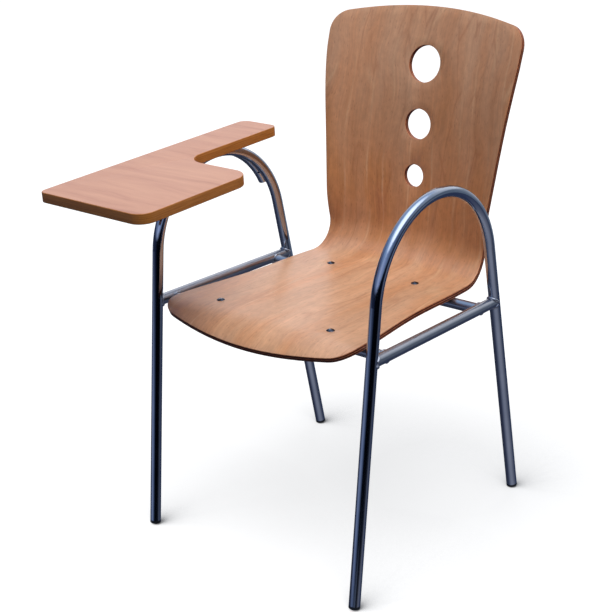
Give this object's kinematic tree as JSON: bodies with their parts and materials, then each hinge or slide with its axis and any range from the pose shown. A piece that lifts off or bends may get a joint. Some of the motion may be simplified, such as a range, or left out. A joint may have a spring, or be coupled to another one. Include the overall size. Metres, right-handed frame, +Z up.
{
  "type": "tablet arm chair",
  "caption": "Tablet-arm chair: a bent plywood shell bolted to arched steel tube frames, with a writing tablet on the right arm that folds up and outwards.",
  "frame": {"origin": "centre of the whole chair's footprint on the floor, with the tablet folded down", "axes": "+X to the sitter's left, +Y behind the sitter, +Z up"},
  "size_m": [0.5328, 0.7528, 0.8815],
  "materials": {
    "tube_paint": "satin metallic blue-grey powder coat",
    "shell_plywood": "clear satin lacquer on beech veneer",
    "tablet_veneer": "clear satin lacquer on beech veneer",
    "zinc_steel": "dull zinc plate",
    "hinge_steel": "black powder coat",
    "black_plastic": "moulded",
    "black_rubber": "moulded"
  },
  "bodies": {
    "chair": {"left_arch_frame": "tube_paint", "right_arch_frame": "tube_paint", "left_side_rail": "tube_paint", "right_side_rail": "tube_paint", "front_crossbar": "tube_paint", "rear_crossbar": "tube_paint", "tablet_support_tube": "tube_paint", "seat_shell": "shell_plywood", "seat_bolts": "zinc_steel", "seat_washers": "zinc_steel", "seat_nuts": "zinc_steel", "hinge_stop_pins": "hinge_steel", "support_tube_plug": "black_plastic", "tablet_rest_pad": "black_rubber", "left_front_foot_glide": "black_plastic", "left_rear_foot_glide": "black_plastic", "right_front_foot_glide": "black_plastic", "right_rear_foot_glide": "black_plastic"},
    "tablet": {"tablet_board": "tablet_veneer", "front_tablet_hinge": "hinge_steel", "rear_tablet_hinge": "hinge_steel", "tablet_screws": "zinc_steel"}
  },
  "joints": [
    {"name": "tablet_fold", "type": "hinge", "parent": "chair", "child": "tablet", "pos_m": [-0.25463, -0.16398, 0.65946], "axis": [0, -1, 0], "range_deg": [0, 90]}
  ]
}
